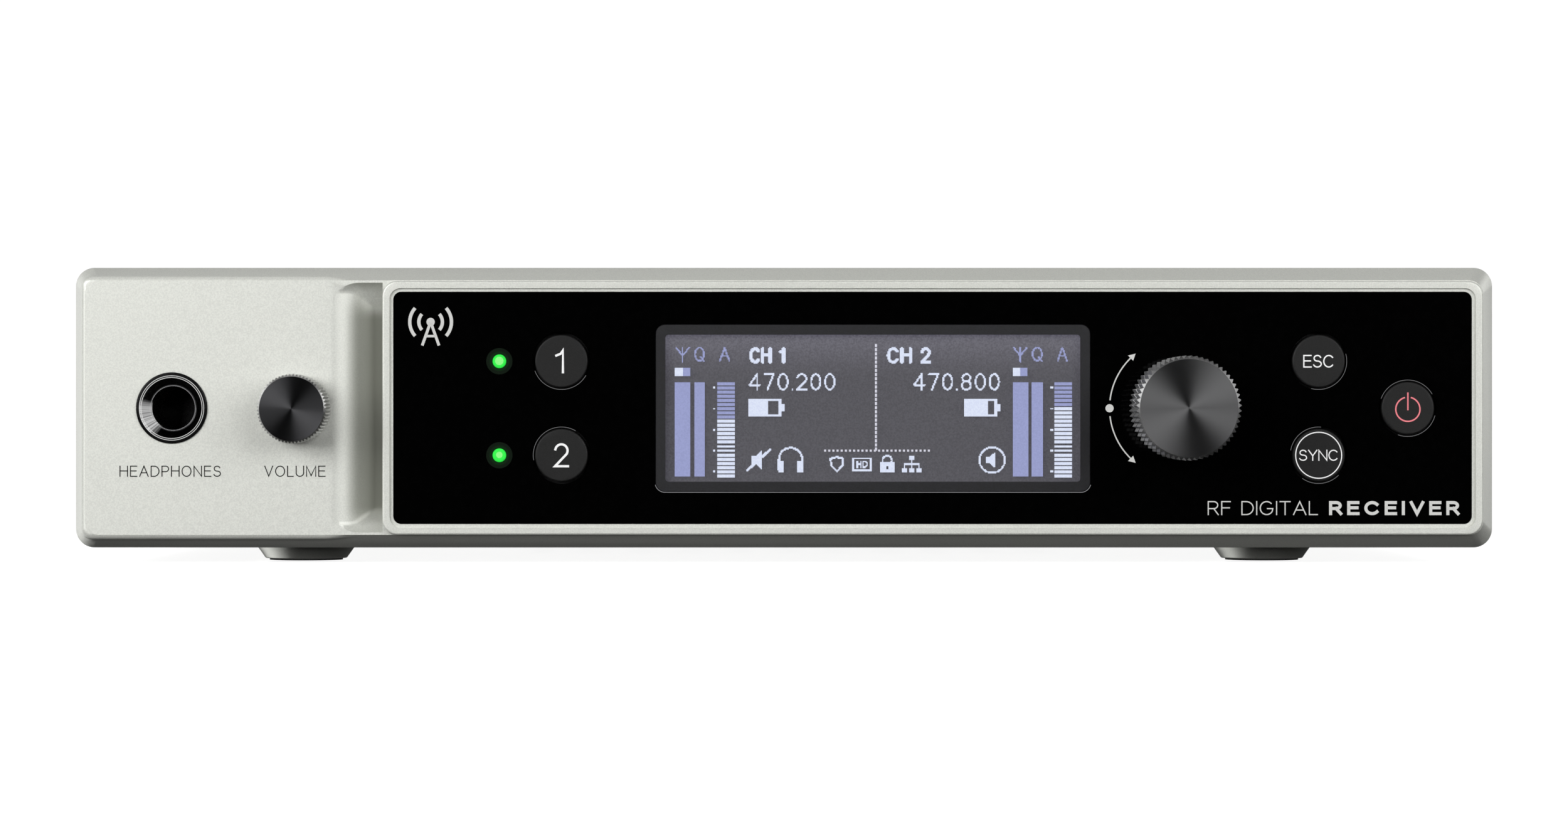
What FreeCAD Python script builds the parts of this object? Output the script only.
import FreeCAD, Part
import math
import os
import re
import Sketcher

doc = FreeCAD.newDocument("WirelessReceiver")
V = FreeCAD.Vector

# Frame: front faces -Y, +Z is up, origin on the floor at the middle of the bounding box.
# All sizes are in millimetres.

SIZES = {
    # housing
    "housing_width": 212.0, "housing_height": 41.87, "floor_gap": 2.13, "housing_corner": 2.8,
    "shell_wall": 1.2, "housing_front": -73.5, "seam_front": -72.0, "housing_back": 82.0,
    "tray_lip": 4.2, "row_level": 22.97,
    # front casting
    "rim_front": -78.0, "rim_inset": 2.0, "casting_back": -66.0, "casting_wall": 2.5,
    "pod_inset": 1.3, "pod_corner": 1.6, "pod_edge": 0.9, "pod_end": -60.0,
    "valley_start": -67.5, "valley_floor": -75.2, "valley_shoulder": 5.5, "valley_foot": 4.06,
    "valley_curl": 4.2, "valley_blend": 2.0,
    # bezel and fascia
    "bezel_middle": 22.08, "bezel_level": 23.02, "bezel_width": 163.55, "bezel_height": 37.75,
    "bezel_front": -79.0, "bezel_face": 1.1, "bezel_lip": 0.5, "bezel_corner": 2.2,
    "lip_front": -78.6, "fascia_front": -78.2, "fascia_thickness": 2.0, "fascia_corner": 1.2,
    # display
    "display_middle": 13.23, "display_level": 22.98, "surround_width": 64.9, "surround_height": 25.1,
    "window_width": 61.8, "window_height": 21.9, "surround_front": -77.95, "surround_corner": 1.5,
    "glass_front": -77.1, "glass_thickness": 0.8, "module_front": -76.1, "module_depth": 4.6,
    # buttons
    "button_radius": 3.94, "button_clearance": 0.33, "button_front": -78.45, "button_flange": 4.9,
    "flange_front": -75.9, "flange_depth": 0.8, "stem_radius": 1.6, "stem_end": -73.45,
    "dome_front": -73.4, "dome_radius": 2.6, "hole_bevel": 0.2,
    "channel_middle": -33.09, "menu_middle": 79.48, "power_middle": 92.74,
    "upper_level": 29.96, "lower_level": 15.98, "lamp_middle": -42.33, "lamp_radius": 1.03,
    # front board
    "board_front": -71.5, "board_thickness": 1.6,
    # jog dial
    "dial_middle": 58.86, "dial_radius": 7.65, "dial_root": 7.2, "dial_front": -94.5, "dial_back": -79.6,
    "dial_hub": 3.95, "dial_hollow": 6.4, "dial_shaft": 3.0, "shaft_back": -72.35, "bush_radius": 4.5,
    "bush_bore": 3.05, "rotor_radius": 5.0, "rotor_front": -74.5, "rotor_back": -73.0,
    # volume knob
    "volume_middle": -72.42, "volume_radius": 5.11, "volume_root": 4.8, "volume_front": -86.4,
    "volume_back": -78.7, "volume_shaft": 2.0, "volume_bush": 2.9, "pod_wall_back": -75.5,
    # headphone socket
    "phones_middle": -91.07, "ring_radius": 5.32, "chrome_radius": 4.85, "phones_bore": 3.25,
    # rear
    "rear_face": 82.0, "rear_plate": 1.5, "nose_back": 94.5,
    "antenna_level": 30.0, "antenna_nose": 5.0, "xlr_level": 23.0,
    "jack_level": 20.0, "network_middle": 1.0, "network_level": 17.0,
    "power_socket_middle": -86.0, "power_socket_level": 12.5, "hook_middle": -98.0,
    # main board, feet
    "main_board_level": 12.0, "foot_span": 72.65, "foot_front": -62.0, "foot_back": 64.0,
    "foot_top": 7.5, "foot_bottom": 6.15, "bracket_front": -50.0, "bracket_pitch": 20.0,
}

sheet = doc.addObject("Spreadsheet::Sheet", "Sizes")
for row, (word, size) in enumerate(SIZES.items(), 1):
    sheet.set(f"A{row}", word)
    sheet.set(f"B{row}", str(size))
    sheet.setAlias(f"B{row}", word)
doc.recompute()

nodes = {}
counter = [0]


def tied(text):
    """Turn size words in an expression into spreadsheet references."""
    def swap(match):
        word = match.group(0)
        return "Sizes." + word if word in SIZES else word
    return re.sub(r"[a-z_]+", swap, str(text))


def bind(thing, prop, text):
    thing.setExpression(prop, tied(text))


def next_name():
    counter[0] += 1
    return "P" + str(counter[0])


def make(kind, label):
    thing = doc.addObject(kind, next_name())
    thing.Label = label + "_" + str(counter[0])
    return thing


def put(thing, x, y, z):
    bind(thing, "Placement.Base.x", x)
    bind(thing, "Placement.Base.y", y)
    bind(thing, "Placement.Base.z", z)


def box(label, x, y, z, wide, deep, high):
    """Box centred on x and z, starting at y and running back."""
    thing = make("Part::Box", label)
    bind(thing, "Length", wide)
    bind(thing, "Width", deep)
    bind(thing, "Height", high)
    put(thing, f"({x}) - ({wide}) / 2", y, f"({z}) - ({high}) / 2")
    return thing


def turn(thing, axis):
    if axis == "Y":
        thing.Placement.Rotation = FreeCAD.Rotation(V(1, 0, 0), -90)
    if axis == "X":
        thing.Placement.Rotation = FreeCAD.Rotation(V(0, 1, 0), 90)


def rod(label, x, y, z, radius, length, axis="Y"):
    """Cylinder that starts at the point and runs along +axis."""
    thing = make("Part::Cylinder", label)
    turn(thing, axis)
    bind(thing, "Radius", radius)
    bind(thing, "Height", length)
    put(thing, x, y, z)
    return thing


def cone(label, x, y, z, first, second, length, axis="Y"):
    thing = make("Part::Cone", label)
    turn(thing, axis)
    bind(thing, "Radius1", first)
    bind(thing, "Radius2", second)
    bind(thing, "Height", length)
    put(thing, x, y, z)
    return thing


def hexagon(label, x, y, z, radius, length, axis="Y"):
    thing = make("Part::Prism", label)
    thing.Polygon = 6
    turn(thing, axis)
    bind(thing, "Circumradius", radius)
    bind(thing, "Height", length)
    put(thing, x, y, z)
    return thing


def fuse(label, parts):
    thing = make("Part::MultiFuse", label)
    thing.Shapes = parts
    return thing


def cut(label, base, tools):
    thing = make("Part::Cut", label)
    thing.Base = base
    thing.Tool = tools[0] if len(tools) == 1 else fuse(label + "_tools", tools)
    return thing


def common(label, parts):
    thing = make("Part::MultiCommon", label)
    thing.Shapes = parts
    return thing


def fillet(label, base, radius, chosen, kind="Part::Fillet"):
    doc.recompute()
    thing = make(kind, label)
    thing.Base = base
    edges = []
    for number, edge in enumerate(base.Shape.Edges, 1):
        if chosen(edge):
            edges.append((number, radius, radius))
    thing.Edges = edges
    doc.recompute()
    return thing


def along(axis):
    """Pick straight edges that run along one axis."""
    index = "XYZ".index(axis)

    def chosen(edge):
        if edge.Curve.TypeId != "Part::GeomLine":
            return False
        size = edge.BoundBox
        spans = [size.XLength, size.YLength, size.ZLength]
        return spans[index] > 0.01 and sum(spans) - spans[index] < 0.001
    return chosen


def on_plane(axis, level, slack=0.01):
    """Pick edges that lie in one plane across an axis."""
    index = "XYZ".index(axis)

    def chosen(edge):
        size = edge.BoundBox
        low = [size.XMin, size.YMin, size.ZMin][index]
        high = [size.XMax, size.YMax, size.ZMax][index]
        return abs(low - level) < slack and abs(high - level) < slack
    return chosen


def rounded(label, x, y, z, wide, deep, high, corner):
    """Box with its four front-to-back edges rounded."""
    return fillet(label, box(label, x, y, z, wide, deep, high), corner, along("Y"))


def outline(label, points, plane, length, start):
    """Closed line outline in a plane, pulled out along its normal."""
    sketch = make("Sketcher::SketchObject", label + "_outline")
    if plane == "XZ":
        sketch.Placement.Rotation = FreeCAD.Rotation(V(1, 0, 0), 90)
    if plane == "YZ":
        sketch.Placement.Rotation = FreeCAD.Rotation(V(1, 1, 1), 120)
    count = len(points)
    for index, point in enumerate(points):
        last = points[(index + 1) % count]
        if len(last) == 2:
            sketch.addGeometry(Part.LineSegment(V(point[0], point[1], 0), V(last[0], last[1], 0)))
        else:
            middle = V(last[2], last[3], 0)
            arc = Part.Arc(V(point[0], point[1], 0), middle, V(last[0], last[1], 0))
            sketch.addGeometry(arc)
    pulled = make("Part::Extrusion", label)
    pulled.Base = sketch
    pulled.DirMode = "Normal"
    pulled.Solid = True
    bind(pulled, "LengthFwd", length)
    if plane == "XY":
        bind(pulled, "Placement.Base.z", start)
    if plane == "XZ":
        bind(pulled, "Placement.Base.y", start)
    if plane == "YZ":
        bind(pulled, "Placement.Base.x", start)
    return pulled


def node(thing, name):
    thing.Label = name
    nodes[name] = thing
    return thing


def size_of(word):
    return SIZES[word]


HALF_WIDTH = size_of("housing_width") / 2
BOTTOM = size_of("floor_gap")
TOP = BOTTOM + size_of("housing_height")
MIDDLE = (BOTTOM + TOP) / 2

# ---------------------------------------------------------------- enclosure
LEVEL = "floor_gap + housing_height / 2"
SHELL_LENGTH = "housing_back - seam_front"
shell_outer = rounded("shell_outer", "0", "seam_front", LEVEL, "housing_width", SHELL_LENGTH,
                      "housing_height", size_of("housing_corner"))
shell_inner = rounded("shell_inner", "0", "seam_front - 1", LEVEL, "housing_width - 2 * shell_wall",
                      SHELL_LENGTH + " + 2", "housing_height - 2 * shell_wall",
                      size_of("housing_corner") - size_of("shell_wall"))
tube = cut("shell_tube", shell_outer, [shell_inner])
split = "floor_gap + tray_lip"
upper_half = box("upper_half", "0", "seam_front - 5", "floor_gap + tray_lip + 30",
                 "housing_width + 10", SHELL_LENGTH + " + 10", "60")
lower_half = box("lower_half", "0", "seam_front - 5", "floor_gap + tray_lip - 20.025",
                 "housing_width + 10", SHELL_LENGTH + " + 10", "40")

side_tools = []
for side in (-1, 1):
    for step in (0, 1):
        side_tools.append(rod("bracket_hole", f"{side} * (housing_width / 2) - 3",
                              f"bracket_front + {step} * bracket_pitch", "row_level", "2.0", "6", "X"))
    for step in (0, 1):
        inner_x = "housing_width / 2 - 1.21" if side == 1 else "-1 * (housing_width / 2) - 0.01"
        wide_end = ("1.55", "2.7") if side == 1 else ("2.7", "1.55")
        side_tools.append(cone("side_screw_hole", inner_x, f"bracket_front + 70 + {step} * 52",
                               "floor_gap + 9", wide_end[0], wide_end[1], "1.22", "X"))
    for step in range(9):
        slot = fillet("vent", box("vent", f"{side} * (housing_width / 2)", f"10 + {step} * 6",
                                  "row_level + 6", "8", "2.4", "12"), 1.15, along("X"))
        side_tools.append(slot)
node(cut("top_cover", common("top_half", [tube, upper_half]), side_tools), "top_cover")

tray_tools = []
for side in (-1, 1):
    for y_word in ("foot_front", "foot_back"):
        tray_tools.append(rod("foot_hole", f"{side} * foot_span", y_word, "floor_gap - 1", "1.6", "4", "Z"))
for column in range(11):
    slot = fillet("vent", box("vent", f"-40 + {column} * 8", "-20", "floor_gap", "3", "30", "6"), 1.4,
                  along("Z"))
    tray_tools.append(slot)
tray = cut("bottom_tray", common("low_half", [tube, lower_half]), tray_tools)
node(tray, "bottom_tray")

# ---------------------------------------------------------------- front casting
rim_base = rounded("rim_base", "0", "housing_front", LEVEL, "housing_width",
                   "seam_front - housing_front", "housing_height", size_of("housing_corner"))
def ring_sketch(label, y, inset, corner):
    """Rounded rectangle sketch in an XZ plane, inset from the housing outline."""
    sketch = make("Sketcher::SketchObject", label)
    sketch.Placement.Rotation = FreeCAD.Rotation(V(1, 0, 0), 90)
    right = HALF_WIDTH - inset
    low = BOTTOM + inset
    high = TOP - inset
    part = corner * (1 - math.sqrt(0.5))
    spots = [(right - corner, low, right, low + corner, right - part, low + part),
             (right, high - corner, right - corner, high, right - part, high - part),
             (corner - right, high, -right, high - corner, part - right, high - part),
             (-right, low + corner, corner - right, low, part - right, low + part)]
    for index, spot in enumerate(spots):
        arc = Part.Arc(V(spot[0], spot[1], 0), V(spot[4], spot[5], 0), V(spot[2], spot[3], 0))
        sketch.addGeometry(arc)
        after = spots[(index + 1) % 4]
        sketch.addGeometry(Part.LineSegment(V(spot[2], spot[3], 0), V(after[0], after[1], 0)))
    bind(sketch, "Placement.Base.y", y)
    return sketch


rim = make("Part::Loft", "rim_slope")
rim.Sections = [ring_sketch("rim_wide", "housing_front", 0, size_of("housing_corner")),
                ring_sketch("rim_narrow", "rim_front", size_of("rim_inset"),
                            size_of("housing_corner") - size_of("rim_inset") * 0.35)]
rim.Solid = True
rim.Ruled = True
doc.recompute()

# pod: outline narrows to the rim line where it meets the valley
pod_low = BOTTOM + size_of("pod_inset")
pod_high = TOP - size_of("pod_inset")
end_low = BOTTOM + size_of("rim_inset")
end_high = TOP - size_of("rim_inset")
pod_left = -HALF_WIDTH + size_of("pod_inset")
pod_points = [(pod_left, pod_low), (-68.0, pod_low), (size_of("pod_end"), end_low),
              (size_of("pod_end"), end_high), (-68.0, pod_high), (pod_left, pod_high)]
pod_block = outline("pod_block", pod_points, "XZ", "housing_front - rim_front", "housing_front")


def pod_corner(edge):
    return along("Y")(edge) and edge.BoundBox.XMax < pod_left + 1


def pod_front_edge(edge):
    size = edge.BoundBox
    flat = on_plane("Y", size_of("rim_front"))(edge)
    return flat and size.XMax < size_of("pod_end") - 0.01


pod_round = fillet("pod_round", pod_block, size_of("pod_corner"), pod_corner)
pod = fillet("pod_soft", pod_round, size_of("pod_edge"), pod_front_edge)

# valley: a rounded shoulder runs into a hollow foot, and both ends curl up to the rim
shoulder = size_of("valley_shoulder")
foot = size_of("valley_foot")
face_y = size_of("rim_front")
floor_y = size_of("valley_floor")
start_x = size_of("valley_start")
lean = math.acos(1 - (floor_y - face_y) / (shoulder + foot))
swap = (start_x + shoulder * math.sin(lean), face_y + shoulder * (1 - math.cos(lean)))
swap_mid = (start_x + shoulder * math.sin(lean / 2), face_y + shoulder * (1 - math.cos(lean / 2)))
foot_x = start_x + (shoulder + foot) * math.sin(lean)
foot_mid = (foot_x - foot * math.sin(lean / 2), floor_y - foot * (1 - math.cos(lean / 2)))
bezel_left = size_of("bezel_middle") - size_of("bezel_width") / 2
valley_points = [(start_x, face_y - 2), (start_x, face_y), swap + swap_mid, (foot_x, floor_y) + foot_mid,
                 (bezel_left, floor_y), (bezel_left, face_y - 2)]
valley_plan = outline("valley_plan", valley_points, "XY", "housing_height", "floor_gap")
curl = size_of("valley_curl")
curl_run = math.sqrt(curl * curl - (curl - (floor_y - face_y)) ** 2)
turn_angle = math.asin(curl_run / curl)
curl_low = BOTTOM + size_of("rim_inset") + 0.35
curl_high = TOP - size_of("rim_inset") - 0.35
mid_run = curl_run - curl * math.sin(turn_angle / 2)
mid_drop = floor_y - curl * (1 - math.cos(turn_angle / 2))
ends = [(face_y - 2, curl_low), (face_y, curl_low),
        (floor_y, curl_low + curl_run, mid_drop, curl_low + mid_run),
        (floor_y, curl_high - curl_run), (face_y, curl_high, mid_drop, curl_high - mid_run),
        (face_y - 2, curl_high)]
valley_side = outline("valley_side", ends, "YZ", "14", "valley_start - 2")
valley_block = common("valley_block", [valley_plan, valley_side])


def mitre_edge(edge):
    size = edge.BoundBox
    return min(size.XLength, size.YLength, size.ZLength) > 0.3


doc.recompute()
valley = fillet("valley", valley_block, size_of("valley_blend"), mitre_edge)

spigot = rounded("spigot", "0", "seam_front", LEVEL, "housing_width - 2 * shell_wall - 0.1",
                 "casting_back - seam_front", "housing_height - 2 * shell_wall - 0.1",
                 size_of("housing_corner") - size_of("shell_wall"))
casting_solid = fuse("casting_solid", [rim_base, rim, pod, spigot])

bezel_seat = rounded("bezel_seat", "bezel_middle", "rim_front - 4", "bezel_level", "bezel_width",
                     "fascia_front + fascia_thickness - rim_front + 4.6", "bezel_height",
                     size_of("bezel_corner"))
through_hole = rounded("through_hole", "bezel_middle", "rim_front - 4", "bezel_level",
                       "bezel_width - 5", "30", "bezel_height - 5", 1.2)
pod_cavity = rounded("pod_cavity", "-83", "pod_wall_back", LEVEL, "41", "20", "housing_height - 9", 1.5)
back_cavity = rounded("back_cavity", "0", "-70.5", LEVEL, "housing_width - 7.4", "10",
                      "housing_height - 7.4", 1.5)
phones_seat = rod("phones_seat", "phones_middle", "rim_front - 2", "row_level + 0.04", "ring_radius", "6")
volume_hole = rod("volume_hole", "volume_middle", "rim_front - 2", "row_level - 0.09",
                  "volume_bush + 0.1", "6")
casting = cut("front_casting", casting_solid, [valley, bezel_seat, through_hole, pod_cavity, back_cavity,
                                               phones_seat, volume_hole])
node(casting, "front_casting")

# ---------------------------------------------------------------- bezel frame
BEZEL_BACK = "fascia_front + fascia_thickness + 0.6"
bezel_outer = rounded("bezel_outer", "bezel_middle", "bezel_front", "bezel_level", "bezel_width",
                      BEZEL_BACK + " - bezel_front", "bezel_height", size_of("bezel_corner"))
bezel_soft = fillet("bezel_soft", bezel_outer, 0.3, on_plane("Y", size_of("bezel_front")))
step_cut = rounded("step_cut", "bezel_middle", "bezel_front - 1", "bezel_level",
                   "bezel_width - 2 * bezel_face", "lip_front - bezel_front + 1",
                   "bezel_height - 2 * bezel_face", size_of("bezel_corner") - 0.6)
inner_cut = rounded("inner_cut", "bezel_middle", "bezel_front - 1", "bezel_level",
                    "bezel_width - 2 * bezel_face - 2 * bezel_lip", "4",
                    "bezel_height - 2 * bezel_face - 2 * bezel_lip", size_of("fascia_corner"))
back_cut = rounded("back_cut", "bezel_middle", "fascia_front", "bezel_level",
                   "bezel_width - 2 * bezel_face + 0.3", "6", "bezel_height - 2 * bezel_face + 0.3",
                   size_of("fascia_corner") + 0.4)
node(cut("bezel_frame", bezel_soft, [step_cut, inner_cut, back_cut]), "bezel_frame")

# ---------------------------------------------------------------- fascia panel
fascia_plate = rounded("fascia_plate", "bezel_middle", "fascia_front", "bezel_level",
                       "bezel_width - 2 * bezel_face + 0.2", "fascia_thickness",
                       "bezel_height - 2 * bezel_face + 0.2", size_of("fascia_corner") + 0.4)
BUTTONS = [("channel_one", "channel_middle", "upper_level"), ("channel_two", "channel_middle", "lower_level"),
           ("escape", "menu_middle", "upper_level"), ("sync", "menu_middle", "lower_level"),
           ("power", "power_middle", "row_level")]
fascia_tools = []
for word, middle, level in BUTTONS:
    fascia_tools.append(rod("button_hole", middle, "fascia_front - 1", level,
                            "button_radius + button_clearance", "4"))
    fascia_tools.append(cone("hole_bevel", middle, "fascia_front - 0.01", level,
                             "button_radius + button_clearance + hole_bevel",
                             "button_radius + button_clearance", "hole_bevel"))
for level in ("upper_level", "lower_level"):
    fascia_tools.append(rod("lamp_hole", "lamp_middle", "fascia_front - 1", level, "lamp_radius", "4"))
fascia_tools.append(rod("dial_hole", "dial_middle", "fascia_front - 1", "row_level", "bush_radius + 0.05",
                        "4"))
fascia_tools.append(rounded("display_hole", "display_middle", "fascia_front - 1", "display_level",
                            "surround_width", "4", "surround_height", size_of("surround_corner")))
node(cut("fascia_panel", fascia_plate, fascia_tools), "fascia_panel")

# ---------------------------------------------------------------- display
surround_plate = rounded("surround_plate", "display_middle", "surround_front", "display_level",
                         "surround_width - 0.02", "module_front - surround_front",
                         "surround_height - 0.02", size_of("surround_corner"))
surround_soft = fillet("surround_soft", surround_plate, 0.25, on_plane("Y", size_of("surround_front")))
window = rounded("window", "display_middle", "surround_front - 1", "display_level", "window_width", "5",
                 "window_height", 0.5)
glass_seat = rounded("glass_seat", "display_middle", "glass_front", "display_level", "window_width + 1.2",
                     "5", "window_height + 1.2", 0.6)
node(cut("display_surround", surround_soft, [window, glass_seat]), "display_surround")
node(rounded("display_glass", "display_middle", "glass_front", "display_level", "window_width + 1.1",
             "glass_thickness", "window_height + 1.1", 0.55), "display_glass")
node(box("display_module", "display_middle", "module_front", "display_level", "surround_width + 3",
         "module_depth", "surround_height + 1.2"), "display_module")

# ---------------------------------------------------------------- push buttons and their domes
for word, middle, level in BUTTONS:
    cap = rod(word + "_cap", middle, "button_front", level, "button_radius",
              "flange_front - button_front")
    cap_soft = fillet(word + "_cap_soft", cap, 0.25, on_plane("Y", size_of("button_front")))
    flange = rod(word + "_flange", middle, "flange_front", level, "button_flange", "flange_depth")
    stem = rod(word + "_stem", middle, "flange_front", level, "stem_radius", "stem_end - flange_front")
    node(fuse(word + "_button", [cap_soft, flange, stem]), word + "_button")
    dome = cone(word + "_dome_skirt", middle, "dome_front", level, "stem_radius + 0.2", "dome_radius",
                "board_front - dome_front")
    hollow = cone(word + "_dome_hollow", middle, "dome_front + 0.7", level, "stem_radius - 0.4",
                  "dome_radius - 0.5", "board_front - dome_front - 0.7")
    node(cut(word + "_dome", dome, [hollow]), word + "_dome")

# ---------------------------------------------------------------- status lamps
lamp_parts = []
for level in ("upper_level", "lower_level"):
    lens = rod("lamp_lens", "lamp_middle", "fascia_front - 0.12", level, "lamp_radius - 0.02",
               "board_front - fascia_front + 0.12")
    lens_soft = fillet("lamp_soft", lens, 0.3, on_plane("Y", size_of("fascia_front") - 0.12))
    collar = rod("lamp_collar", "lamp_middle", "fascia_front + fascia_thickness", level,
                 "lamp_radius + 0.6", "0.8")
    lamp_parts.append(lens_soft)
    lamp_parts.append(collar)
node(fuse("status_lamps", lamp_parts), "status_lamps")

# ---------------------------------------------------------------- front boards
front_board_tools = [rod("rotor_hole", "dial_middle", "board_front - 1", "row_level", "1.2", "4")]
for side in (-1, 1):
    front_board_tools.append(rod("board_hole", f"bezel_middle + {side} * 74", "board_front - 1",
                                 "bezel_level - 12", "1.6", "4"))
node(cut("front_board", box("front_board", "bezel_middle", "board_front", "bezel_level", "154",
                            "board_thickness", "31"), front_board_tools), "front_board")
phones_board_tools = []
for step in (-1, 0, 1):
    phones_board_tools.append(box("phones_board_hole", f"phones_middle + {step} * 3.5", "-63", "row_level - 5",
                                  "1.2", "6", "1.2"))
node(cut("headphone_board", box("headphone_board", "-82.5", "-61.4", "row_level", "38", "board_thickness",
                                "28"),
         phones_board_tools), "headphone_board")


# ---------------------------------------------------------------- knurled knobs
def plane_of(body, role):
    return next(thing for thing in body.Origin.OriginFeatures if thing.Role == role)


def knurled(label, x_word, y_word, z_text, profile, root, tip, teeth):
    """Turned knob with V grooves; profile points are (radius, distance back from its front)."""
    body = doc.addObject("PartDesign::Body", next_name())
    body.Label = label
    sketch = body.newObject("Sketcher::SketchObject", next_name())
    sketch.AttachmentSupport = (plane_of(body, "XY_Plane"), [""])
    sketch.MapMode = "FlatFace"
    count = len(profile)
    for index, point in enumerate(profile):
        last = profile[(index + 1) % count]
        sketch.addGeometry(Part.LineSegment(V(point[0], point[1], 0), V(last[0], last[1], 0)), False)
    for index in range(count):
        sketch.addConstraint(Sketcher.Constraint("Coincident", index, 2, (index + 1) % count, 1))
    doc.recompute()
    turned = body.newObject("PartDesign::Revolution", next_name())
    turned.Profile = sketch
    turned.ReferenceAxis = (sketch, ["V_Axis"])
    turned.Angle = 360
    doc.recompute()
    tooth = body.newObject("Sketcher::SketchObject", next_name())
    tooth.AttachmentSupport = (plane_of(body, "XZ_Plane"), [""])
    tooth.MapMode = "FlatFace"
    half = math.pi / teeth
    outer = tip + 0.06
    notch = [(0, root), (outer * math.sin(half), outer * math.cos(half)),
             (-outer * math.sin(half), outer * math.cos(half))]
    for index in range(3):
        first = notch[index]
        last = notch[(index + 1) % 3]
        tooth.addGeometry(Part.LineSegment(V(first[0], first[1], 0), V(last[0], last[1], 0)), False)
    for index in range(3):
        tooth.addConstraint(Sketcher.Constraint("Coincident", index, 2, (index + 1) % 3, 1))
    doc.recompute()
    groove = body.newObject("PartDesign::Pocket", next_name())
    groove.Profile = tooth
    groove.Type = 1
    groove.Midplane = True
    doc.recompute()
    pattern = body.newObject("PartDesign::PolarPattern", next_name())
    pattern.Originals = [groove]
    pattern.Axis = (tooth, ["N_Axis"])
    pattern.Angle = 360
    pattern.Occurrences = teeth
    body.Tip = pattern
    bind(body, "Placement.Base.x", x_word)
    bind(body, "Placement.Base.y", y_word)
    bind(body, "Placement.Base.z", z_text)
    doc.recompute()
    return node(body, label)


DIAL_LENGTH = size_of("dial_back") - size_of("dial_front")
tip = size_of("dial_radius")
root = size_of("dial_root")
shaft = size_of("dial_shaft")
hollow = size_of("dial_hollow")
dial_profile = [(0, 0), (root - 0.06, 0), (root, 0.06), (tip, 0.35), (tip, 7.0), (root - 0.1, 7.3),
                (root - 0.1, 8.0), (tip, 8.3), (tip, DIAL_LENGTH - 0.3), (tip - 0.3, DIAL_LENGTH),
                (hollow, DIAL_LENGTH), (hollow, DIAL_LENGTH - 3.4), (shaft, DIAL_LENGTH - 3.4),
                (shaft, 2.5), (0, 2.5)]
knurled("jog_dial", "dial_middle", "dial_front", "row_level", dial_profile, root, tip, 60)

VOLUME_LENGTH = size_of("volume_back") - size_of("volume_front")
tip = size_of("volume_radius")
root = size_of("volume_root")
shaft = size_of("volume_shaft")
volume_profile = [(0, 0), (root - 0.05, 0), (root, 0.05), (tip, 0.3), (tip, VOLUME_LENGTH - 0.25),
                  (tip - 0.25, VOLUME_LENGTH), (4.2, VOLUME_LENGTH), (4.2, VOLUME_LENGTH - 1.4),
                  (shaft, VOLUME_LENGTH - 1.4), (shaft, 1.5), (0, 1.5)]
knurled("volume_knob", "volume_middle", "volume_front", "row_level - 0.09", volume_profile, root, tip, 60)

# ---------------------------------------------------------------- jog encoder
node(rod("jog_shaft", "dial_middle", "dial_front + 2.5", "row_level", "dial_shaft",
         "shaft_back - dial_front - 2.5"), "jog_shaft")
rotor = rod("encoder_rotor_disc", "dial_middle", "rotor_front", "row_level", "rotor_radius",
            "rotor_back - rotor_front")
rotor_bore = rod("rotor_bore", "dial_middle", "rotor_front - 1", "row_level", "bush_bore", "4")
node(cut("encoder_rotor", rotor, [rotor_bore]), "encoder_rotor")
encoder_block = box("encoder_block", "dial_middle", "-76.1", "row_level", "13.4", "board_front + 76.1", "12.6")
encoder_bush = rod("encoder_bush", "dial_middle", "-79.9", "row_level", "bush_radius", "4")
encoder_inside = rod("encoder_inside", "dial_middle", "rotor_front - 0.3", "row_level",
                     "rotor_radius + 0.35", "rotor_back - rotor_front + 0.6")
encoder_bore = rod("encoder_bore", "dial_middle", "-81", "row_level", "bush_bore", "8")
switch_room = rod("switch_room", "dial_middle", "-73", "row_level", "3.4", "1.5")
node(cut("encoder_body", fuse("encoder_solid", [encoder_block, encoder_bush]),
         [encoder_inside, encoder_bore, switch_room]), "encoder_body")
encoder_nut = cut("encoder_nut", hexagon("encoder_hex", "dial_middle", "fascia_front - 1.6", "row_level",
                                         "5.9", "1.6"),
                  [rod("encoder_nut_bore", "dial_middle", "-84", "row_level", "bush_radius + 0.02", "8")])
node(encoder_nut, "encoder_nut")
node(cone("jog_dome", "dial_middle", "shaft_back + 0.05", "row_level", "1.2", "2.6",
          "board_front - shaft_back - 0.06"), "jog_dome")

# ---------------------------------------------------------------- volume control
VOLUME_LEVEL = "row_level - 0.09"
node(rod("volume_shaft", "volume_middle", "volume_front + 1.5", VOLUME_LEVEL, "volume_shaft",
         "-70.5 - volume_front - 1.5"), "volume_shaft")
pot_block = box("pot_block", "volume_middle", "pod_wall_back + 0.05", VOLUME_LEVEL, "11", "8", "11")
pot_bush = rod("pot_bush", "volume_middle", "rim_front - 1.3", VOLUME_LEVEL, "volume_bush", "4")
pot_bore = rod("pot_bore", "volume_middle", "rim_front - 3", VOLUME_LEVEL, "volume_shaft + 0.05", "10.8")
pot_legs = box("pot_legs", "volume_middle", "-67.5", VOLUME_LEVEL, "7", "6.1", "3")
node(cut("volume_pot", fuse("pot_solid", [pot_block, pot_bush, pot_legs]), [pot_bore]), "volume_pot")
node(cut("volume_nut", hexagon("volume_hex", "volume_middle", "rim_front - 1.1", VOLUME_LEVEL, "3.85", "1.1"),
         [rod("volume_nut_bore", "volume_middle", "-82", VOLUME_LEVEL, "volume_bush + 0.02", "8")]),
     "volume_nut")

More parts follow.
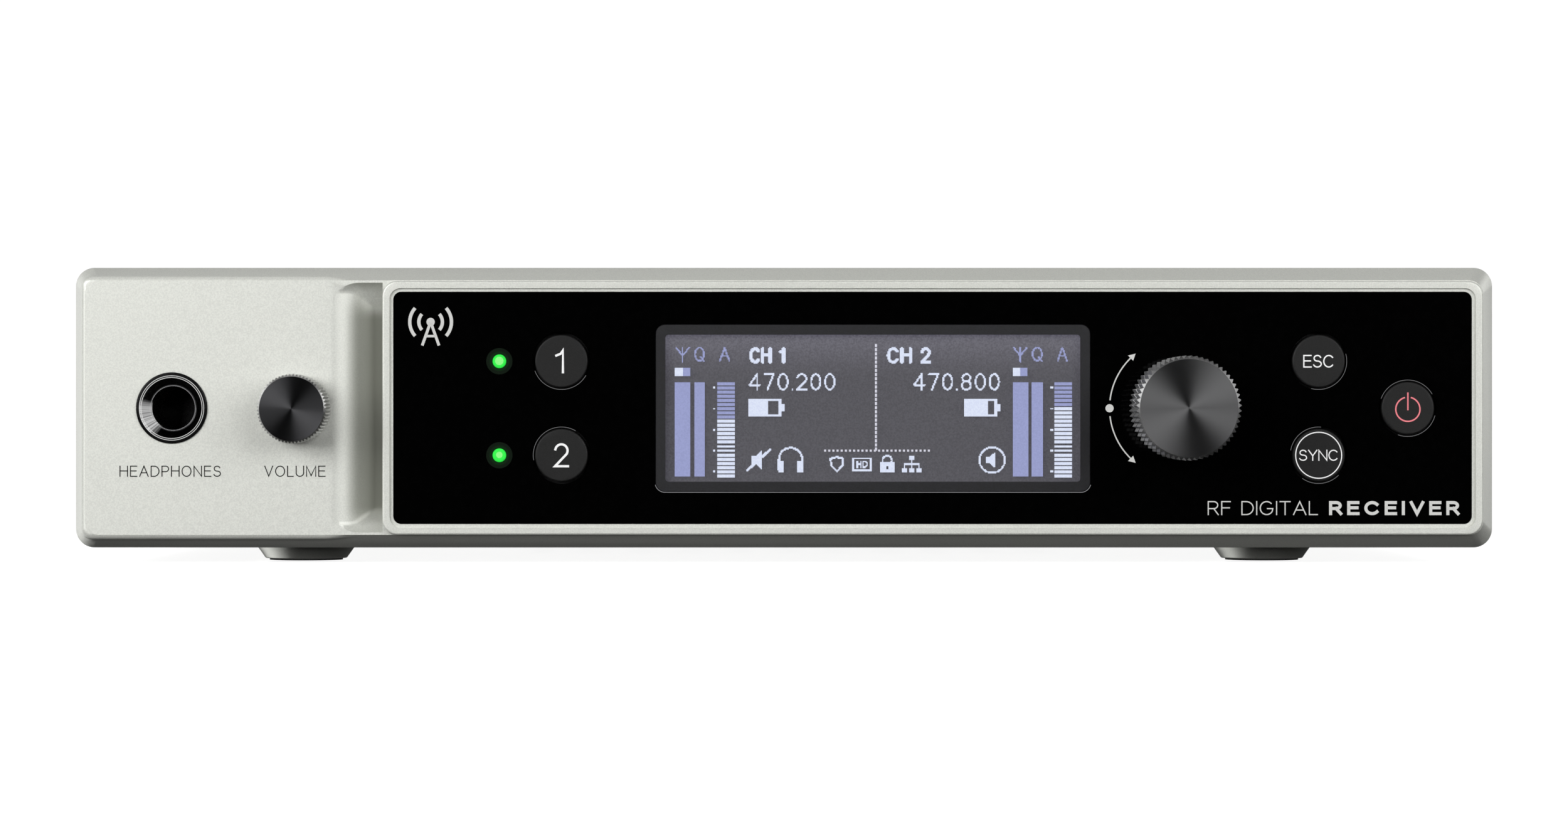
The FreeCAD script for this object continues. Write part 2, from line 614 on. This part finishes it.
# ---------------------------------------------------------------- headphone socket
PHONES_LEVEL = "row_level + 0.04"
ring = rod("ring", "phones_middle", "rim_front - 0.35", PHONES_LEVEL, "ring_radius - 0.02",
           "pod_wall_back - rim_front + 0.35")
ring_soft = fillet("ring_soft", ring, 0.2, on_plane("Y", size_of("rim_front") - 0.35))
ring_bore = rod("ring_bore", "phones_middle", "rim_front - 2", PHONES_LEVEL, "chrome_radius", "9")
node(cut("headphone_ring", ring_soft, [ring_bore]), "headphone_ring")
chrome = rod("chrome", "phones_middle", "rim_front - 0.25", PHONES_LEVEL, "chrome_radius - 0.01",
             "pod_wall_back - rim_front + 0.25")
chrome_groove = cut("chrome_groove",
                    rod("groove_wide", "phones_middle", "rim_front - 0.4", PHONES_LEVEL,
                        "chrome_radius - 0.08", "0.35"),
                    [rod("groove_core", "phones_middle", "rim_front - 0.5", PHONES_LEVEL,
                         "chrome_radius - 0.27", "0.6")])
chrome_cone = cone("chrome_cone", "phones_middle", "rim_front - 0.26", PHONES_LEVEL,
                   "chrome_radius - 0.36", "phones_bore + 0.16", "1.7")
chrome_bore = rod("chrome_bore", "phones_middle", "rim_front - 2", PHONES_LEVEL, "phones_bore", "9")
node(cut("headphone_nut", chrome, [chrome_groove, chrome_cone, chrome_bore]), "headphone_nut")
socket_block = box("socket_block", "phones_middle", "pod_wall_back", PHONES_LEVEL, "11.6", "14", "15")
socket_bore = rod("socket_bore", "phones_middle", "pod_wall_back - 1", PHONES_LEVEL, "phones_bore", "13.6")
leaf_room = box("leaf_room", "phones_middle", "pod_wall_back + 3", "row_level + 5", "3", "8", "4")
node(cut("headphone_socket", socket_block, [socket_bore, leaf_room]), "headphone_socket")
leaf = box("leaf", "phones_middle", "pod_wall_back + 4", "row_level + 5.6", "2.2", "6", "0.5")
leaf_pins = [leaf]
for step in (-1, 0, 1):
    leaf_pins.append(box("leaf_pin", f"phones_middle + {step} * 3.5", "pod_wall_back + 14", "row_level - 5",
                         "0.8", "3.6", "0.8"))
node(fuse("headphone_contacts", leaf_pins), "headphone_contacts")

# ---------------------------------------------------------------- rear panel and its sockets
rear_plate = rounded("rear_plate", "0", "rear_face - rear_plate", LEVEL,
                     "housing_width - 2 * shell_wall - 0.2", "rear_plate",
                     "housing_height - 2 * shell_wall - 0.2", 1.4)
ANTENNAS = ["-70", "90"]
XLRS = ["-45", "24"]
JACKS = ["-21", "56"]
rear_tools = []
for x in ANTENNAS:
    rear_tools.append(rod("antenna_hole", x, "rear_face - 4", "antenna_level", "5.0", "8"))
for x in XLRS:
    rear_tools.append(rod("xlr_hole", x, "rear_face - 4", "xlr_level", "11.0", "8"))
    for side in (-1, 1):
        rear_tools.append(rod("xlr_screw_hole", f"{x} + {side} * 9.5", "rear_face - 4",
                              f"xlr_level + {side} * 12", "1.3", "8"))
for x in JACKS:
    rear_tools.append(rod("jack_hole", x, "rear_face - 4", "jack_level", "5.0", "8"))
rear_tools.append(box("network_hole", "network_middle", "rear_face - 4", "network_level", "14.4", "8",
                      "12.4"))
rear_tools.append(rod("power_hole", "power_socket_middle", "rear_face - 4", "power_socket_level", "5.6", "8"))
for side in (-1, 1):
    for high in (-1, 1):
        rear_tools.append(rod("rear_screw_hole", f"{side} * 101", "rear_face - 4", f"{LEVEL} + {high} * 15.5",
                              "1.3", "8"))
node(cut("rear_panel", rear_plate, rear_tools), "rear_panel")

sockets = []
nuts = []
contacts = []
for x in ANTENNAS:
    flange = rod("antenna_flange", x, "rear_face - 4.5", "antenna_level", "7.2", "3")
    barrel = rod("antenna_barrel", x, "rear_face - 4.5", "antenna_level", "4.95",
                 "nose_back - rear_face - antenna_nose + 4.5")
    nose = rod("antenna_nose", x, "nose_back - antenna_nose", "antenna_level", "4.8", "antenna_nose")
    lugs = rod("antenna_lug", f"{x} - 5.5", "nose_back - 6.3", "antenna_level", "1.0", "11", "X")
    bore = rod("antenna_bore", x, "nose_back - 9", "antenna_level", "4.1", "12")
    sockets.append(cut("antenna_shell", fuse("antenna_solid", [flange, barrel, nose, lugs]), [bore]))
    nuts.append(cut("antenna_nut", hexagon("antenna_hex", x, "rear_face", "antenna_level", "7.6", "2.2"),
                    [rod("antenna_nut_bore", x, "rear_face - 1", "antenna_level", "4.97", "8")]))
    core = rod("antenna_core", x, "nose_back - 8.99", "antenna_level", "2.4", "7.6")
    core_bore = rod("antenna_core_bore", x, "nose_back - 6", "antenna_level", "0.7", "8")
    contacts.append(cut("antenna_contact", core, [core_bore]))
node(fuse("antenna_sockets", sockets), "antenna_sockets")
node(fuse("antenna_nuts", nuts), "antenna_nuts")
node(fuse("antenna_contacts", contacts), "antenna_contacts")

shells = []
pins = []
screws = []
for x in XLRS:
    flange = rounded("xlr_flange", x, "rear_face", "xlr_level", "26", "1.8", "31", 2.5)
    body = rod("xlr_body", x, "rear_face - 14", "xlr_level", "10.9", "14.5")
    well = rod("xlr_well", x, "rear_face - 11", "xlr_level", "9.5", "20")
    holes = [well]
    for side in (-1, 1):
        holes.append(rod("xlr_fix", f"{x} + {side} * 9.5", "rear_face - 2", f"xlr_level + {side} * 12", "1.3",
                         "8"))
        holes.append(cone("xlr_sink", f"{x} + {side} * 9.5", "rear_face + 0.4", f"xlr_level + {side} * 12",
                          "1.3", "2.7", "1.41"))
        head = cone("xlr_head", f"{x} + {side} * 9.5", "rear_face + 0.4", f"xlr_level + {side} * 12", "1.28",
                    "2.66", "1.38")
        shank = rod("xlr_shank", f"{x} + {side} * 9.5", "rear_face - 5", f"xlr_level + {side} * 12", "1.28",
                    "5.4")
        slot = box("xlr_slot", f"{x} + {side} * 9.5", "rear_face + 1.2", f"xlr_level + {side} * 12", "3.2", "2",
                   "0.6")
        screws.append(cut("xlr_screw", fuse("xlr_screw_solid", [head, shank]), [slot]))
    shells.append(cut("xlr_shell", fuse("xlr_solid", [flange, body]), holes))
    for dx, dz in ((-3.5, 1.6), (3.5, 1.6), (0, -3.6)):
        pin = rod("xlr_pin", f"{x} + {dx}", "rear_face - 10.99", f"xlr_level + {dz}", "1.2", "8.0")
        pins.append(fillet("xlr_pin_soft", pin, 0.8, on_plane("Y", size_of("rear_face") - 2.99)))
node(fuse("xlr_sockets", shells), "xlr_sockets")
node(fuse("xlr_pins", pins), "xlr_pins")
node(fuse("xlr_screws", screws), "xlr_screws")

bodies = []
nuts = []
for x in JACKS:
    block = box("jack_block", x, "rear_face - 19.5", "jack_level", "15", "18", "15")
    bush = rod("jack_bush", x, "rear_face - 1.6", "jack_level", "4.9", "4.2")
    bore = rod("jack_bore", x, "rear_face - 18", "jack_level", "phones_bore", "24")
    bodies.append(cut("jack_body", fuse("jack_solid", [block, bush]), [bore]))
    nuts.append(cut("jack_nut", hexagon("jack_hex", x, "rear_face", "jack_level", "8.2", "2.0"),
                    [rod("jack_nut_bore", x, "rear_face - 1", "jack_level", "4.92", "8")]))
node(fuse("jack_sockets", bodies), "jack_sockets")
node(fuse("jack_nuts", nuts), "jack_nuts")

NETWORK = "network_middle"
network_block = box("network_block", NETWORK, "rear_face - 15", "network_level", "14.2", "15.4", "12.2")
network_well = box("network_well", NETWORK, "rear_face - 12.5", "network_level + 0.6", "11.8", "16", "7.4")
network_key = box("network_key", NETWORK, "rear_face - 12.5", "network_level - 3.6", "6", "16", "2.4")
node(cut("network_socket", network_block, [network_well, network_key]), "network_socket")
wires = []
for step in range(8):
    wires.append(box("network_wire", f"{NETWORK} - 3.57 + {step} * 1.02", "rear_face - 12.5",
                     "network_level + 3.9", "0.4", "8", "0.79"))
node(fuse("network_contacts", wires), "network_contacts")

power_body = rod("power_body", "power_socket_middle", "rear_face - 13", "power_socket_level", "5.5", "14.2")
power_lip = rod("power_lip", "power_socket_middle", "rear_face", "power_socket_level", "6.6", "1.2")
power_well = rod("power_well", "power_socket_middle", "rear_face - 10.5", "power_socket_level", "3.15", "16")
node(cut("power_socket", fuse("power_solid", [power_body, power_lip]), [power_well]), "power_socket")
node(rod("power_pin", "power_socket_middle", "rear_face - 10.49", "power_socket_level", "1.0", "6.9"),
     "power_pin")

hook_plate = box("hook_plate", "hook_middle", "rear_face", "row_level + 4", "5", "1.2", "12")
hook_arm = box("hook_arm", "hook_middle", "rear_face + 1.2", "row_level + 8", "5", "8", "1.6")
hook_tip = box("hook_tip", "hook_middle", "rear_face + 7.6", "row_level + 6", "5", "1.6", "4")
node(fuse("cable_hook", [hook_plate, hook_arm, hook_tip]), "cable_hook")

# ---------------------------------------------------------------- main board and what stands on it
board_y = "-48"
main_board = box("main_board", "0", board_y, "main_board_level", "196", "108", "board_thickness")
POSTS = [(-92, -44), (92, -44), (-92, 54), (92, 54), (0, -44), (0, 54)]
board_tools = []
posts = []
board_screws = []
for x, y in POSTS:
    board_tools.append(rod("board_hole", str(x), str(y), "main_board_level - 3", "1.6", "6", "Z"))
    post = hexagon("post", str(x), str(y), "floor_gap + shell_wall", "3.1",
                   "main_board_level - board_thickness / 2 - floor_gap - shell_wall", "Z")
    posts.append(cut("post_bored", post, [rod("post_bore", str(x), str(y), "floor_gap", "1.25", "20", "Z")]))
    head = rod("board_screw_head", str(x), str(y), "main_board_level + board_thickness / 2", "2.7", "1.8", "Z")
    shank = rod("board_screw_shank", str(x), str(y), "main_board_level - 5", "1.23",
                "5 + board_thickness / 2", "Z")
    board_screws.append(fuse("board_screw", [head, shank]))
node(cut("main_board", main_board, board_tools), "main_board")
node(fuse("board_standoffs", posts), "board_standoffs")
node(fuse("board_screws", board_screws), "board_screws")
cans = []
for x in ("-58", "46"):
    outer = box("can_outer", x, "-30", "main_board_level + board_thickness / 2 + 4", "52", "44", "8")
    inner = box("can_inner", x, "-29.6", "main_board_level + board_thickness / 2 + 3.6", "51.2", "43.2", "8")
    cans.append(cut("can", outer, [inner]))
node(fuse("shield_cans", cans), "shield_cans")
PLUG_LEVEL = "main_board_level + board_thickness / 2 + 1.1"
node(fuse("front_ribbon", [box("ribbon_run", "32", "-69.9", "row_level - 3", "24", "0.3", "12"),
                           box("ribbon_foot", "32", "-69.9", "row_level - 8.85", "24", "21.9", "0.3"),
                           box("ribbon_plug", "32", "-48", PLUG_LEVEL, "26", "3.4", "2.2")]), "front_ribbon")
node(fuse("headphone_ribbon", [box("wire_run", "-76", "-59.8", "row_level - 3", "12", "0.3", "12"),
                               box("wire_foot", "-76", "-59.8", "row_level - 8.85", "12", "11.8", "0.3"),
                               box("wire_plug", "-76", "-48", PLUG_LEVEL, "14", "3.4", "2.2")]),
     "headphone_ribbon")

# ---------------------------------------------------------------- feet, inserts, cover screws
feet = []
pads = []
for side in (-1, 1):
    for y_word in ("foot_front", "foot_back"):
        taper = cone("foot", f"{side} * foot_span", y_word, "0.25", "foot_bottom", "foot_top",
                     "floor_gap - 0.25", "Z")
        solid = fillet("foot_soft", taper, 0.35, on_plane("Z", 0.25))
        tongue = rod("foot_tongue", f"{side} * foot_span", y_word, "1.0", "1.55", "3.8", "Z")
        feet.append(fuse("foot_solid", [solid, tongue]))
        pads.append(rod("pad", f"{side} * foot_span", y_word, "0", "foot_bottom - 0.6", "0.25", "Z"))
node(fuse("feet", feet), "feet")
node(fuse("foot_pads", pads), "foot_pads")

inserts = []
cover_screws = []
for side in (-1, 1):
    near = "housing_width / 2 - shell_wall - 3" if side == 1 else "-1 * (housing_width / 2) + shell_wall"
    for step in (0, 1):
        y = f"bracket_front + {step} * bracket_pitch"
        insert = rod("insert", near, y, "row_level", "3.6", "3", "X")
        inserts.append(cut("insert_bored", insert, [rod("insert_bore", near + " - 1", y, "row_level", "1.65",
                                                        "6", "X")]))
    for step in (0, 1):
        y = f"bracket_front + 70 + {step} * 52"
        head_x = "housing_width / 2 - 1.15" if side == 1 else "-1 * (housing_width / 2)"
        wide_end = ("1.53", "2.6") if side == 1 else ("2.6", "1.53")
        shank_x = "housing_width / 2 - 6" if side == 1 else "-1 * (housing_width / 2) + 1.1"
        head = cone("cover_head", head_x, y, "floor_gap + 9", wide_end[0], wide_end[1], "1.15", "X")
        shank = rod("cover_shank", shank_x, y, "floor_gap + 9", "1.53", "4.9", "X")
        slot_x = "housing_width / 2 - 0.8" if side == 1 else "-1 * (housing_width / 2) - 0.2"
        slot = hexagon("cover_slot", slot_x, y, "floor_gap + 9", "1.2", "1.0", "X")
        cover_screws.append(cut("cover_screw", fuse("cover_screw_solid", [head, shank]), [slot]))
node(fuse("bracket_inserts", inserts), "bracket_inserts")
node(fuse("cover_screws", cover_screws), "cover_screws")
rear_screws = []
for side in (-1, 1):
    for high in (-1, 1):
        x = f"{side} * 101"
        z = f"{LEVEL} + {high} * 15.5"
        head = rod("rear_head", x, "rear_face", z, "2.5", "1.3")
        shank = rod("rear_shank", x, "rear_face - 6", z, "1.27", "6")
        slot = hexagon("rear_slot", x, "rear_face + 0.5", z, "1.2", "1.2")
        rear_screws.append(cut("rear_screw", fuse("rear_screw_solid", [head, shank]), [slot]))
node(fuse("rear_screws", rear_screws), "rear_screws")

doc.recompute()
for thing in doc.Objects:
    if "Invalid" in thing.State or "Error" in thing.State:
        raise RuntimeError("bad state: " + thing.Label + " " + str(thing.State))
    if hasattr(thing, "Shape") and thing.TypeId != "App::Origin" and thing.isDerivedFrom("Part::Feature"):
        if thing.Shape.isNull() or not thing.Shape.isValid():
            raise RuntimeError("bad shape: " + thing.Label)

os.makedirs("parts", exist_ok=True)
for name, thing in nodes.items():
    if not thing.Shape.Solids:
        raise RuntimeError("no solid: " + name)
    thing.Shape.exportStep("parts/" + name + ".step")
whole = FreeCAD.BoundBox()
for thing in nodes.values():
    whole.add(thing.Shape.BoundBox)
print(len(nodes), "nodes", whole)
